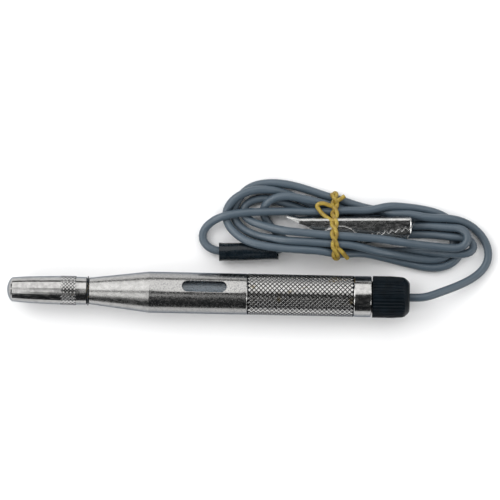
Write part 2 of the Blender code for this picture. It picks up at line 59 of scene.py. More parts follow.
# How large a diamond's flat top is, as a share of its foot
KNURL_TOP = 0.64
RING_START = -46.9 * MM
RING_END = -41.8 * MM
RING_RADIUS = 4.64 * MM
RING_DEPTH = 0.14 * MM
WINDOW_START = -8.4 * MM
WINDOW_END = 5.8 * MM
WINDOW_WIDTH = 3.7 * MM
WINDOW_ROLL = math.radians(-21.0)

# Spring behind the plunger, in metres
SPRING_START = 14.3 * MM
SPRING_END = 35.6 * MM
SPRING_WIRE = 0.3 * MM
SPRING_RADIUS = 2.9 * MM
SPRING_TURNS = 8

# Lead, in metres
CORD_DIAMETER = 2.6 * MM
# Half the lead, which is how high its middle lies on the floor
FLOOR_CLEARANCE = CORD_DIAMETER / 2
# Room left between its strands, and beside everything else
CORD_GAP = 0.03 * MM
SIDE_GAP = 0.05 * MM
ROUTE_SPACING = 1.2 * MM
# The lead is held until it first passes this y, and again after it last passes this x
HELD_Y = 7 * MM
HELD_X = -1.8 * MM

# How the lead settles in each round: its fall in millimetres and its pull to the route,
# each with a part that fades and a part that stays, and the evening-out (reach, strength).
FALL_EARLY = 0.03
FALL_ALWAYS = 0.002
PULL_EARLY = 0.08
PULL_ALWAYS = 0.045
EVENING_OUT = ((1, 0.2), (3, 0.02))
LENGTH_PASSES = 8
CONTACT_PASSES = 3
PUSH_SHARE = 0.3
FULL_ROUNDS = 400
SOFTENING_ROUNDS = 6

# Clip, as in the CAD model
CLIP_PIVOT = np.array([41.0, 18.3, 4.8]) * MM
CLIP_ROLL = math.radians(15.0)
CLIP_TURN = math.radians(1.4)
CLIP_SHEET = 0.45 * MM
# The rest of the clip is in millimetres, in its own frame
CLIP_TIP = 23.1
BACK_BEND = 0.9
TIP_ROUND = 0.6
JAW_ROWS = 60
TIP_ROWS = 4
BITE_SLOPE = 0.174
# Height of the line where the jaws meet, above the pin
BITE_HEIGHT = 0.1
TOOTH_PITCH = 2.1
TOOTH_COUNT = 6
TOOTH_DEPTH = 1.0
PIN_HOLE = 0.85
COIL_WIRE = 0.25
COIL_RADIUS = 1.15
COIL_HALF = 0.85

# Sleeve pushed back along the lead
SLEEVE_START = np.array([3.1, 13.2, 3.0]) * MM
SLEEVE_END = np.array([21.9, 14.0, 3.0]) * MM
SLEEVE_RADIUS = 2.95 * MM
SLEEVE_WALL = 0.55 * MM
SLEEVE_SLANT = 0.9 * MM

# Band, in metres
BAND_X = 39.6 * MM
BAND_RADIUS = 0.68 * MM
BAND_END_RADIUS = 0.66 * MM
BAND_REACH = 0.4 * MM
BAND_LOWEST = 1.15 * MM
BAND_TWISTS = 7
BAND_SPREAD = 0.7 * MM
BAND_LIFT = 0.3 * MM
BAND_SWAY = 0.25 * MM
# How far its sides are drawn in, and how much it leans along the pen
BAND_WAIST = 0.97
BAND_LEAN = 0.05

# The lead's route in millimetres, from the terminal to the clip. The hank's heights
# are first guesses, which the relaxation settles.
LEAD_ROUTE = [
    (38.0, 0.0, 6.6), (50.0, 0.0, 6.6), (60.0, 0.0, 6.6), (65.0, 0.0, 6.6),
    (68.5, 0.0, 6.6), (72.8, 1.6, 5.7), (79.0, 4.0, 3.6), (84.5, 6.9, 2.0),
    (87.9, 10.4, 1.45), (88.9, 14.0, 1.35), (87.8, 18.0, 1.35), (84.9, 21.7, 1.35),
    (80.9, 24.2, 1.7), (77.0, 25.1, 2.8),
]
FIRST_TURN = [
    (73.0, 25.3, 3.6), (68.2, 25.2, 3.6), (64.2, 25.2, 3.6), (60.2, 25.4, 3.5),
    (56.5, 26.2, 2.4), (53.5, 26.8, 1.4), (50.0, 27.2, 1.2), (45.5, 28.6, 1.2),
    (39.5, 30.2, 1.2), (34.4, 32.3, 1.2), (28.3, 34.2, 1.2), (22.5, 35.3, 1.2),
    (17.0, 35.1, 1.2), (12.2, 33.8, 1.2), (9.3, 31.0, 1.2), (7.7, 28.0, 1.2),
    (7.2, 24.8, 1.2), (8.8, 21.9, 1.5), (11.5, 20.0, 3.0), (15.4, 18.5, 4.8),
    (21.4, 17.6, 7.0), (27.0, 17.1, 8.6), (33.0, 16.9, 8.8), (39.9, 16.8, 8.8),
    (44.3, 16.5, 8.6), (49.0, 15.6, 7.4), (54.0, 14.6, 5.6), (60.5, 13.4, 3.6),
    (66.5, 12.4, 1.8), (71.5, 11.9, 1.2), (75.4, 12.9, 1.2), (77.6, 15.8, 1.2),
    (77.8, 19.2, 1.2), (76.0, 22.4, 1.2), (72.8, 24.6, 1.2),
]
SECOND_TURN = [
    (68.5, 25.4, 1.2), (64.0, 25.4, 1.2), (60.0, 25.2, 1.2), (55.5, 24.9, 1.2),
    (51.0, 25.1, 1.2), (46.5, 26.2, 1.2), (42.5, 27.4, 1.2), (39.6, 28.2, 1.2),
    (34.5, 29.3, 1.6), (28.4, 30.8, 3.6), (23.6, 31.5, 4.0), (20.5, 30.9, 3.6),
    (17.9, 29.4, 2.4), (16.5, 27.2, 1.2), (16.9, 24.6, 1.2), (18.7, 22.2, 1.2),
    (21.6, 19.4, 1.2), (24.4, 17.0, 1.2), (27.0, 15.4, 1.2), (29.8, 14.9, 1.2),
    (34.5, 14.8, 1.2), (40.0, 14.8, 1.2), (46.0, 14.6, 1.2), (52.0, 14.4, 1.2),
    (58.0, 14.5, 1.6), (64.0, 14.6, 2.8), (70.0, 14.5, 3.6), (76.0, 14.2, 3.8),
    (80.8, 13.9, 3.8), (83.6, 14.6, 3.6), (84.6, 16.6, 3.4), (83.2, 18.6, 3.4),
    (80.4, 19.3, 3.2),
]
THIRD_TURN = [
    (77.3, 19.4, 3.0), (73.7, 19.9, 1.8), (69.2, 20.1, 1.2), (65.1, 20.1, 1.2),
    (58.0, 20.2, 1.2), (51.0, 20.3, 1.2), (46.0, 20.9, 1.2), (42.5, 22.2, 1.2),
    (39.0, 23.6, 1.2), (34.0, 25.4, 1.2), (28.0, 27.6, 1.2), (22.0, 29.6, 1.2),
    (17.0, 30.4, 1.2), (12.4, 29.6, 1.2), (10.1, 27.4, 1.2), (10.2, 25.0, 1.2),
    (12.5, 23.3, 1.4), (16.6, 21.9, 3.0), (19.7, 21.1, 4.4), (24.0, 20.5, 6.6),
    (27.1, 20.1, 8.2), (32.8, 19.6, 9.2), (38.8, 19.0, 9.6), (44.2, 18.9, 9.6),
    (49.0, 18.7, 8.8), (53.4, 18.4, 8.0), (58.5, 17.8, 7.2), (64.0, 17.1, 6.4),
    (69.9, 16.4, 6.0), (75.0, 16.0, 6.0), (79.0, 15.6, 6.0), (81.5, 16.8, 6.0),
    (82.3, 19.2, 6.0), (81.3, 21.5, 6.0), (78.9, 22.5, 5.6),
]
FOURTH_TURN = [
    (75.5, 22.4, 4.6), (71.5, 22.9, 3.0), (67.5, 23.1, 1.8), (63.5, 23.0, 1.2),
    (58.0, 22.7, 1.2), (51.0, 22.7, 1.2), (46.0, 23.4, 1.2), (42.0, 25.0, 1.2),
    (39.0, 26.1, 1.2), (34.5, 28.0, 1.2), (30.0, 29.9, 1.2), (25.5, 31.7, 1.4),
    (20.5, 33.2, 2.4), (15.7, 33.6, 3.3), (11.5, 32.6, 3.4), (7.8, 30.4, 3.4),
    (5.3, 27.4, 3.4), (4.7, 24.4, 3.4), (5.8, 21.4, 3.4), (8.3, 18.9, 4.6),
    (11.4, 16.7, 6.4), (15.0, 15.6, 7.2), (21.5, 14.9, 7.4), (27.0, 14.7, 7.6),
    (33.0, 14.6, 7.8), (39.9, 14.5, 7.8), (44.3, 14.5, 7.2), (48.4, 14.1, 6.2),
    (54.2, 12.9, 4.4), (60.6, 11.3, 2.4), (67.2, 10.0, 1.2), (71.4, 9.6, 1.2),
    (75.3, 10.2, 1.2), (78.4, 12.0, 1.2), (80.2, 15.0, 1.2), (80.3, 18.6, 1.2),
    (78.8, 21.7, 1.2), (76.2, 24.2, 1.2), (73.2, 25.9, 1.2),
]
TOP_RUN = [
    (70.2, 27.0, 1.4), (66.8, 27.9, 2.4), (63.3, 28.1, 3.4), (56.1, 27.6, 3.6),
    (51.0, 26.8, 3.6), (46.0, 26.6, 3.6), (40.9, 26.6, 3.6), (31.7, 26.5, 3.6),
    (20.6, 26.4, 3.6), (13.5, 26.1, 3.8), (9.0, 25.6, 5.0), (5.4, 24.9, 5.8),
    (2.2, 23.7, 5.2), (-0.2, 22.0, 3.6), (-2.0, 19.8, 2.0), (-2.5, 17.6, 1.3),
]
TAIL_ROUTE = [
    (-1.6, 15.4, 1.5), (0.4, 13.9, 1.85), (3.6, 13.3, 2.1), (10.0, 13.55, 2.15),
    (19.0, 13.9, 2.15), (22.2, 14.1, 2.25), (24.0, 15.1, 3.05),
]
# The lead's last points, in the clip's own frame, in millimetres
CLIP_MOUTH = [(-14.4, -1.35, 0.0), (-12.2, -1.3, 0.0), (-9.3, -1.3, 0.0)]

# What the lead must keep out of, in the clip's frame, in millimetres: start and end
# along the clip, low and high across it, half width. They include the jaw's swing.
CLIP_BLOCKS = [
    (-13.0, -6.4, -3.2, -1.0, 2.75),
    (-6.4, 5.4, -3.2, 4.65, 2.75),
    (5.4, 7.6, -2.9, 3.0, 2.5),
    (7.6, 14.0, -2.6, 6.7, 2.0),
    (14.0, 23.1, -0.9, 6.7, 2.0),
    (-16.6, 7.6, -1.0, 6.7, 2.0),
    (-16.6, -12.4, 5.2, 7.6, 2.0),
    (0.0, 3.0, 6.7, 7.7, 2.0),
    (3.0, 9.0, 6.7, 9.6, 2.0),
    (9.0, 15.0, 6.7, 11.7, 2.0),
    (15.0, 23.6, 6.7, 14.4, 2.0),
    (-1.1, 1.1, -1.1, 1.1, 3.15),
]

CAMERA_AIM = (12.9 * MM, 14.0 * MM, 5.0 * MM)
CAMERA_DISTANCE = 2.0
CAMERA_ROLL = math.radians(1.19)
VIEW_WIDTH = 158.5 * MM


# ---------------------------------------------------------------- camera


def add_camera():
    """Straight down on the pen, turned so that its axis falls a little to the right."""
    data = bpy.data.cameras.new("camera")
    data.sensor_width = 36.0
    data.lens = 36.0 * (CAMERA_DISTANCE - CAMERA_AIM[2]) / VIEW_WIDTH
    camera = bpy.data.objects.new("camera", data)
    camera.location = (CAMERA_AIM[0], CAMERA_AIM[1], CAMERA_DISTANCE)
    camera.rotation_euler = (0.0, 0.0, CAMERA_ROLL)
    bpy.context.collection.objects.link(camera)
    bpy.context.scene.camera = camera


# ---------------------------------------------------------------- lead


def clip_rotation():
    """Columns are the clip's own axes in the frame."""
    return np.array(
        Matrix.Rotation(CLIP_TURN, 3, "Z") @ Matrix.Rotation(CLIP_ROLL, 3, "X")
    )


def smooth_route(points, spacing):
    """Points at an even spacing along a Catmull-Rom curve through the route's points."""
    route = np.array(points, float)
    padded = np.vstack([2 * route[0] - route[1], route, 2 * route[-1] - route[-2]])
    steps = np.linspace(0.0, 1.0, 24, endpoint=False)[:, None]
    pieces = []
    for a, b, c, d in zip(padded, padded[1:], padded[2:], padded[3:]):
        pieces.append(
            b
            + 0.5 * steps * (c - a)
            + steps**2 * (a - 2.5 * b + 2 * c - 0.5 * d)
            + steps**3 * (1.5 * (b - c) + 0.5 * (d - a))
        )
    return evenly_spaced(np.vstack(pieces + [route[-1:]]), spacing)


def evenly_spaced(line, spacing):
    """The same line with its points at equal steps along it."""
    lengths = np.linalg.norm(np.diff(line, axis=0), axis=1)
    travelled = np.concatenate([[0.0], np.cumsum(lengths)])
    marks = np.linspace(0.0, travelled[-1], max(2, round(travelled[-1] / spacing)) + 1)
    return np.stack([np.interp(marks, travelled, line[:, i]) for i in range(3)], axis=1)


def keep_out_of_clip(points, radius):
    """Move points out of the clip's blocks: off their edges, or through a flat side."""
    axes = clip_rotation()
    local = (points - CLIP_PIVOT) @ axes
    for x_low, x_high, y_low, y_high, half_width in np.array(CLIP_BLOCKS) * MM:
        centre = np.array([(x_low + x_high) / 2, (y_low + y_high) / 2, 0.0])
        half = np.array([(x_high - x_low) / 2, (y_high - y_low) / 2, half_width])
        offset = local - centre
        beyond = np.abs(offset) - half
        outside = np.maximum(beyond, 0.0)
        distance = np.linalg.norm(outside, axis=1)
        inside = (beyond < 0).all(axis=1)
        near = ~inside & (distance < radius)
        way = outside[near] / np.maximum(distance[near], 1e-9)[:, None] * np.sign(offset[near])
        local[near] += way * (radius - distance[near])[:, None]
        side = np.where(offset[inside, 2] >= 0, 1.0, -1.0)
        local[inside, 2] += side * (half_width + radius - np.abs(offset[inside, 2]))
    return CLIP_PIVOT + local @ axes.T


def keep_off_sleeve(points, radius):
    """Move points out of the sleeve, straight away from its axis."""
    along = SLEEVE_END - SLEEVE_START
    length = np.linalg.norm(along)
    along = along / length
    travel = (points - SLEEVE_START) @ along
    foot = SLEEVE_START + np.clip(travel, 0, length)[:, None] * along
    offset = points - foot
    distance = np.linalg.norm(offset, axis=1)
    margin = 0.5 * MM
    reach = SLEEVE_RADIUS + radius
    hit = (distance < reach) & (travel > -margin) & (travel < length + margin)
    moved = points.copy()
    moved[hit] = foot[hit] + offset[hit] / distance[hit, None] * reach
    return moved


def keep_apart(points, free, pairs, gap):
    """Push every pair of points of the lead that are closer than gap apart."""
    first, second = pairs
    offset = points[first] - points[second]
    distance = np.linalg.norm(offset, axis=1)
    hit = distance < gap
    first, second, offset, distance = first[hit], second[hit], offset[hit], distance[hit]
    push = ((gap - distance) / np.maximum(distance, 1e-9) * PUSH_SHARE)[:, None] * offset
    count = np.bincount(np.concatenate([first, second]), minlength=len(points))
    moves = np.zeros_like(points)
    np.add.at(moves, first, push)
    np.add.at(moves, second, -push)
    points += moves / np.maximum(1.0, count / 2.0)[:, None] * free[:, None]


def keep_lengths(points, free, lengths):
    """Bring neighbouring points back to their distance, every other pair at a time."""
    for start in (0, 1):
        a = slice(start, len(points) - 1, 2)
        b = slice(start + 1, len(points), 2)
        offset = points[b] - points[a]
        length = np.linalg.norm(offset, axis=1)
        wanted = lengths[start::2]
        fix = ((length - wanted) / np.maximum(length, 1e-9) * 0.5)[:, None] * offset
        points[a] += fix * free[a, None]
        points[b] -= fix * free[b, None]


def lay_lead(rounds):
    """Let the folded lead settle: it falls, keeps its length, and rests on the floor,
    the clip, the sleeve and itself, close to the route that was laid out. Strands that
    cross can still press into each other by up to a quarter of their thickness."""
    route = LEAD_ROUTE + FIRST_TURN + SECOND_TURN + THIRD_TURN + FOURTH_TURN + TOP_RUN
    mouth = (CLIP_PIVOT / MM + np.array(CLIP_MOUTH) @ clip_rotation().T).tolist()
    target = smooth_route(np.array(route + TAIL_ROUTE + mouth) * MM, ROUTE_SPACING)
    level = target * (1.0, 1.0, 0.0)
    points = target.copy()
    count = len(points)
    free = np.ones(count)
    free[: np.argmax(points[:, 1] > HELD_Y)] = 0.0
    free[count - 1 - np.argmax(points[::-1, 0] < HELD_X):] = 0.0
    lengths = np.linalg.norm(np.diff(points, axis=0), axis=1)
    pairs = np.triu_indices(count, k=4)
    gap = CORD_DIAMETER + CORD_GAP
    radius = CORD_DIAMETER / 2 + SIDE_GAP
    held = free == 0
    for step in range(rounds):
        early = 1 - step / rounds
        points[:, 2] -= (FALL_EARLY * early + FALL_ALWAYS) * MM * free
        pull = PULL_EARLY * early + PULL_ALWAYS
        points[:, :2] += pull * (target - points)[:, :2] * free[:, None]
        for reach, strength in EVENING_OUT:
            shift = points - level
            middle = (shift[: -2 * reach] + shift[2 * reach:]) / 2
            inner = slice(reach, count - reach)
            points[inner] += strength * (middle - shift[inner]) * free[inner, None]
        for _ in range(LENGTH_PASSES):
            keep_lengths(points, free, lengths)
        for _ in range(CONTACT_PASSES):
            keep_apart(points, free, pairs, gap)
            cleared = keep_off_sleeve(keep_out_of_clip(points, radius), radius)
            cleared[:, 2] = np.maximum(cleared[:, 2], FLOOR_CLEARANCE)
            points = np.where(held[:, None], points, cleared)
    return points


def softened(points, rounds):
    """Take the last small kinks out of the line without moving its ends."""
    line = points.copy()
    for _ in range(rounds):
        line[1:-1] += 0.25 * (line[:-2] - 2 * line[1:-1] + line[2:])
    return line


def curve_tube(name, points, radius, material, closed=False, resolution=4):
    """A round tube along a line of points."""
    curve = bpy.data.curves.new(name, "CURVE")
    curve.dimensions = "3D"
    curve.bevel_depth = radius
    curve.bevel_resolution = resolution
    curve.use_fill_caps = not closed
    spline = curve.splines.new("POLY")
    spline.points.add(len(points) - 1)
    for point, place in zip(spline.points, points):
        point.co = (*place, 1.0)
    spline.use_cyclic_u = closed
    spline.use_smooth = True
    item = bpy.data.objects.new(name, curve)
    bpy.context.collection.objects.link(item)
    item.data.materials.append(material)
    return item


# ---------------------------------------------------------------- materials

NICKEL = (0.42, 0.415, 0.405)
NICKEL_EDGE = (0.32, 0.37, 0.45, 1.0)


class Recipe:
    """A procedural material under construction."""

    def __init__(self, name, colour, roughness, metallic=0.0):
        self.material = bpy.data.materials.new(name)
        self.material.use_nodes = True
        self.tree = self.material.node_tree
        self.shader = self.tree.nodes["Principled BSDF"]
        self.shader.inputs["Base Color"].default_value = (*colour, 1.0)
        self.shader.inputs["Roughness"].default_value = roughness
        self.shader.inputs["Metallic"].default_value = metallic

    def node(self, kind, **settings):
        node = self.tree.nodes.new(kind)
        for key, value in settings.items():
            if key in node.inputs.keys():
                node.inputs[key].default_value = value
            else:
                setattr(node, key, value)
        return node

    def link(self, source, target):
        self.tree.links.new(source, target)

    def place(self, scale):
        """Object coordinates, stretched by scale along each axis."""
        coordinates = self.node("ShaderNodeTexCoord")
        mapping = self.node("ShaderNodeMapping")
        mapping.inputs["Scale"].default_value = scale
        self.link(coordinates.outputs["Object"], mapping.inputs["Vector"])
        return mapping.outputs["Vector"]

    def noise(self, scale, stretch=(1.0, 1.0, 1.0), detail=4.0):
        noise = self.node("ShaderNodeTexNoise", Scale=scale, Detail=detail)
        self.link(self.place(stretch), noise.inputs["Vector"])
        return noise.outputs["Fac"]

    def ramp(self, source, stops):
        ramp = self.node("ShaderNodeValToRGB")
        elements = ramp.color_ramp.elements
        while len(elements) < len(stops):
            elements.new(0.5)
        for element, (position, colour) in zip(elements, stops):
            element.position = position
            element.color = (*colour, 1.0)
        self.link(source, ramp.inputs["Fac"])
        return ramp.outputs["Color"]

    def colours(self, source, stops):
        self.link(self.ramp(source, stops), self.shader.inputs["Base Color"])

    def roughness(self, source, low, high):
        spread = self.node("ShaderNodeMapRange")
        spread.inputs["From Min"].default_value = 0.3
        spread.inputs["From Max"].default_value = 0.7
        spread.inputs["To Min"].default_value = low
        spread.inputs["To Max"].default_value = high
        self.link(source, spread.inputs["Value"])
        self.link(spread.outputs["Result"], self.shader.inputs["Roughness"])

    def bump(self, source, strength, distance):
        bump = self.node("ShaderNodeBump", Strength=strength, Distance=distance)
        self.link(source, bump.inputs["Height"])
        self.link(bump.outputs["Normal"], self.shader.inputs["Normal"])


def bright_nickel(name, tint=NICKEL, roughness=0.17, dents=0.0):
    """Nickel plate: mirror-like, with fine wear and faint handling marks."""
    recipe = Recipe(name, tint, roughness, 1.0)
    darker = tuple(0.8 * c for c in tint)
    recipe.colours(recipe.noise(700.0, detail=6.0), [(0.35, darker), (0.6, tint)])
    recipe.roughness(recipe.noise(1600.0, (0.3, 1.0, 1.0)), roughness - 0.05, roughness + 0.08)
    if dents:
        recipe.bump(recipe.noise(240.0, (0.5, 1.0, 1.0), 3.0), dents, 0.0002)
    else:
        recipe.bump(recipe.noise(2600.0, (0.08, 1.0, 1.0), 2.0), 0.06, 0.00003)
    recipe.shader.inputs["Specular Tint"].default_value = NICKEL_EDGE
    return recipe.material


def knurl_nickel(name, crest, depth, flank_shade):
    """Nickel plate with painted shade in its grooves: it darkens with depth below the crests."""
    tops = (0.4, 0.395, 0.385)
    recipe = Recipe(name, tops, 0.2, 1.0)
    place = recipe.node("ShaderNodeTexCoord")
    apart = recipe.node("ShaderNodeSeparateXYZ")
    recipe.link(place.outputs["Object"], apart.inputs["Vector"])
    lowered = recipe.node("ShaderNodeMath", operation="SUBTRACT")
    lowered.inputs[1].default_value = AXIS_HEIGHT
    recipe.link(apart.outputs["Z"], lowered.inputs[0])
    across = recipe.node("ShaderNodeCombineXYZ")
    recipe.link(apart.outputs["Y"], across.inputs["X"])
    recipe.link(lowered.outputs["Value"], across.inputs["Y"])
    reach = recipe.node("ShaderNodeVectorMath", operation="LENGTH")
    recipe.link(across.outputs["Vector"], reach.inputs[0])
    share = recipe.node("ShaderNodeMapRange")
    share.inputs["From Min"].default_value = crest - depth
    share.inputs["From Max"].default_value = crest
    recipe.link(reach.outputs["Value"], share.inputs["Value"])
    # Painted shade: near black in the grooves, the flank shade on the diamonds' sides, bright
    # nickel only on the crests.
    painted_groove_shade = recipe.ramp(
        share.outputs["Result"],
        [(0.0, (0.012, 0.013, 0.015)), (0.6, (flank_shade, flank_shade, flank_shade)), (0.97, tops)],
    )
    stains = recipe.ramp(
        recipe.noise(260.0, detail=8.0), [(0.64, (1.0, 1.0, 1.0)), (0.74, (0.5, 0.42, 0.25))]
    )
    mix = recipe.node("ShaderNodeMix", data_type="RGBA", blend_type="MULTIPLY")
    mix.inputs["Factor"].default_value = 1.0
    recipe.link(painted_groove_shade, mix.inputs["A"])
    recipe.link(stains, mix.inputs["B"])
    recipe.link(mix.outputs["Result"], recipe.shader.inputs["Base Color"])
    recipe.roughness(recipe.noise(1500.0), 0.16, 0.3)
    recipe.shader.inputs["Specular Tint"].default_value = NICKEL_EDGE
    return recipe.material


def satin_nickel(name):
    """Nickel plate over a blasted surface: a fine sparkling grain with dull specks."""
    recipe = Recipe(name, NICKEL, 0.26, 1.0)
    specks = recipe.noise(2600.0, detail=8.0)
    recipe.colours(specks, [(0.36, (0.24, 0.24, 0.24)), (0.52, (0.37, 0.365, 0.355))])
    recipe.roughness(recipe.noise(1500.0, detail=6.0), 0.17, 0.3)
    recipe.bump(recipe.noise(3600.0, detail=3.0), 0.22, 0.00003)
    recipe.shader.inputs["Specular Tint"].default_value = NICKEL_EDGE
    return recipe.material


def worn_plastic(name, colour, pale, roughness, grain=2400.0, bump=0.1, gloss=0.1):
    """Moulded plastic or rubber with pale worn patches and a fine grain."""
    recipe = Recipe(name, colour, roughness)
    recipe.shader.inputs["Specular IOR Level"].default_value = gloss
    recipe.colours(recipe.noise(420.0, detail=5.0), [(0.35, colour), (0.75, pale)])
    recipe.roughness(recipe.noise(1300.0), roughness - 0.08, roughness + 0.14)
    recipe.bump(recipe.noise(grain, detail=3.0), bump, 0.00004)
    return recipe.material


def turned_metal(name, colour, roughness):
    """Bare metal with the fine rings of a lathe."""
    recipe = Recipe(name, colour, roughness, 1.0)
    darker = tuple(0.7 * c for c in colour)
    recipe.colours(recipe.noise(900.0), [(0.3, darker), (0.65, colour)])
    recipe.roughness(recipe.noise(2000.0), roughness - 0.08, roughness + 0.12)
    recipe.bump(recipe.noise(4200.0, (1.0, 0.05, 0.05), 2.0), 0.2, 0.00003)
    return recipe.material


def clear_material(name, tint, roughness, ior, clarity):
    """Clear plastic or glass."""
    recipe = Recipe(name, tint, roughness)
    recipe.shader.inputs["Transmission Weight"].default_value = clarity
    recipe.shader.inputs["IOR"].default_value = ior
    recipe.roughness(recipe.noise(1800.0), roughness, roughness + 0.06)
    recipe.bump(recipe.noise(2600.0), 0.05, 0.00002)
    return recipe.material


def lead_material():
    """Blue-grey flexible sheath: a soft gloss, slow shade changes, a fine matt skin."""
    recipe = Recipe("lead_sheath", (0.054, 0.078, 0.1), 0.42)
    slow = recipe.noise(60.0, detail=3.0)
    recipe.colours(slow, [(0.3, (0.047, 0.069, 0.09)), (0.7, (0.061, 0.087, 0.112))])
    recipe.roughness(recipe.noise(700.0), 0.36, 0.52)
    recipe.bump(recipe.noise(3000.0, detail=3.0), 0.1, 0.00003)
    recipe.shader.inputs["Coat Weight"].default_value = 0.12
    recipe.shader.inputs["Coat Roughness"].default_value = 0.3
    return recipe.material


def rubber_material():
    """Mustard rubber in darker and lighter patches."""
    recipe = Recipe("band_rubber", (0.27, 0.2, 0.028), 0.5)
    patches = recipe.noise(700.0, detail=5.0)
    stops = [(0.3, (0.17, 0.1, 0.01)), (0.55, (0.31, 0.215, 0.026)), (0.8, (0.4, 0.3, 0.045))]
    recipe.colours(patches, stops)
    recipe.roughness(recipe.noise(1500.0), 0.4, 0.62)
    recipe.bump(recipe.noise(2600.0, detail=4.0), 0.35, 0.00008)
    return recipe.material


# ---------------------------------------------------------------- meshes


def mesh_object(name, builder, material, sharp_angle=40.0):
    """Turn a finished builder into a piece, smooth but for its sharp edges."""
    bmesh.ops.recalc_face_normals(builder, faces=builder.faces)
    mesh = bpy.data.meshes.new(name)
    builder.to_mesh(mesh)
    builder.free()
    mesh.shade_smooth()
    mesh.set_sharp_from_angle(angle=math.radians(sharp_angle))
    item = bpy.data.objects.new(name, mesh)
    bpy.context.collection.objects.link(item)
    item.data.materials.append(material)
    return item


def pen_point(along, radius, angle):
    """A point round the pen's axis; angle zero is straight up, towards +Y from there."""
    return (along, radius * math.sin(angle), AXIS_HEIGHT + radius * math.cos(angle))


def turned(name, profile, material, segments=128, sharp_angle=25.0):
    """A closed profile of (along, radius) turned about the pen's axis."""
    builder = bmesh.new()
    rings = []
    for along, radius in profile:
        ring = [
            builder.verts.new(pen_point(along, radius, i / segments * math.tau))
            for i in range(segments)
        ]
        rings.append(ring)
    for ring, following in zip(rings, rings[1:] + rings[:1]):
        for i in range(segments):
            j = (i + 1) % segments
            builder.faces.new((ring[i], ring[j], following[j], following[i]))
    return mesh_object(name, builder, material, sharp_angle)


def apply_modifiers(item):
    """Bake the modifiers into the piece's own mesh."""
    evaluated = item.evaluated_get(bpy.context.evaluated_depsgraph_get())
    mesh = bpy.data.meshes.new_from_object(evaluated)
    item.modifiers.clear()
    item.data = mesh


def add_knurl(builder, start, end, radius, depth, around, row_pitch):
    """Rows of flat-topped diamonds between two crossing sets of spiral grooves."""
    rows = round((end - start) / row_pitch)
    pitch = (end - start) / rows
    step = math.tau / around
    groove = radius - depth

    def corner(row, slot):
        return start + row * pitch, (slot + 0.5 * (row % 2)) * step

    valleys = {}
    for row in range(rows + 1):
        for slot in range(around):
            along, angle = corner(row, slot)
            valleys[row, slot] = builder.verts.new(pen_point(along, groove, angle))
    for row in range(1, rows):
        for slot in range(around):
            shift = slot if row % 2 == 0 else slot + 1
            corners = [(row - 1, shift), (row, slot), (row + 1, shift), (row, slot + 1)]
            along, angle = corner(row, slot)
            angle += step / 2
            low, top = [], []
            for at_row, at_slot in corners:
                low.append(valleys[at_row, at_slot % around])
                x, turn = corner(at_row, at_slot)
                x = along + (x - along) * KNURL_TOP
                turn = angle + (turn - angle) * KNURL_TOP
                top.append(builder.verts.new(pen_point(x, radius, turn)))
            for i in range(4):
                j = (i + 1) % 4
                builder.faces.new((low[i], low[j], top[j], top[i]))
            builder.faces.new(top)


def knurled_ring(name, start, end, radius, depth, around, row_pitch, material):
    builder = bmesh.new()
    add_knurl(builder, start, end, radius, depth, around, row_pitch)
    return mesh_object(name, builder, material, 20.0)


def window_cutter():
    """A slot with round ends, rolled about the pen's axis to where the window is."""
    half = WINDOW_WIDTH / 2
    outline = []
    for centre, first in ((WINDOW_END - half, -90), (WINDOW_START + half, 90)):
        for step in range(17):
            angle = math.radians(first + step * 180 / 16)
            outline.append((centre + half * math.cos(angle), half * math.sin(angle)))
    builder = bmesh.new()
    base = builder.faces.new([builder.verts.new((x, y, 3 * MM)) for x, y in outline])
    extruded = bmesh.ops.extrude_face_region(builder, geom=[base])
    lifted = [v for v in extruded["geom"] if isinstance(v, bmesh.types.BMVert)]
    bmesh.ops.translate(builder, verts=lifted, vec=(0, 0, 6 * MM))
    bmesh.ops.rotate(builder, verts=builder.verts, matrix=Matrix.Rotation(WINDOW_ROLL, 3, "X"))
    bmesh.ops.translate(builder, verts=builder.verts, vec=(0, 0, AXIS_HEIGHT))
    return mesh_object("window_cutter", builder, bpy.data.materials.new("cutter"))


def add_barrel(satin, cone, bright, knurled):
    """The barrel's front with its window, its knurled grip, and its plain rear band."""
    front = turned("barrel_front", [
        (-37.85 * MM, 4.02 * MM),
        (-37.65 * MM, 4.20 * MM),
        (CONE_END, BARREL_RADIUS),
        (KNURL_START - 0.25 * MM, BARREL_RADIUS),
        (KNURL_START, BARREL_RADIUS - KNURL_DEPTH),
        (KNURL_START, BARREL_BORE),
        (-20.00 * MM, BARREL_BORE),
        (-24.00 * MM, 2.50 * MM),
        (-37.85 * MM, 2.50 * MM),
    ], satin, sharp_angle=5.0)
    cutter = window_cutter()
    hole = front.modifiers.new("window", "BOOLEAN")
    hole.operation = "DIFFERENCE"
    hole.solver = "EXACT"
    hole.object = cutter
    rim = front.modifiers.new("rim", "BEVEL")
    rim.width = 0.35 * MM
    rim.segments = 3
    rim.limit_method = "ANGLE"
    rim.angle_limit = math.radians(60)
    apply_modifiers(front)
    bpy.data.objects.remove(cutter)
    front.data.materials.clear()
    front.data.materials.append(satin)
    front.data.materials.append(cone)
    for face in front.data.polygons:
        face.material_index = int(face.center.x < CONE_END)

    groove = BARREL_RADIUS - KNURL_DEPTH
    core = turned("barrel_grip_core", [
        (KNURL_START, groove - 0.02 * MM),
        (KNURL_END, groove - 0.02 * MM),
        (KNURL_END, BARREL_BORE),
        (KNURL_START, BARREL_BORE),
    ], knurled)
    grip = knurled_ring(
        "barrel_grip", KNURL_START, KNURL_END, BARREL_RADIUS, KNURL_DEPTH, 28, 0.72 * MM, knurled
    )
    rear = turned("barrel_rear", [
        (KNURL_END, groove),
        (KNURL_END + 0.25 * MM, BARREL_RADIUS),
        (51.25 * MM, BARREL_RADIUS),
        (51.50 * MM, 6.42 * MM),
        (51.60 * MM, 6.20 * MM),
        (51.60 * MM, BARREL_BORE),
        (KNURL_END, BARREL_BORE),
    ], bright)
    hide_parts("barrel")
    for piece in (front, core, grip, rear):
        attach(piece, "tester")


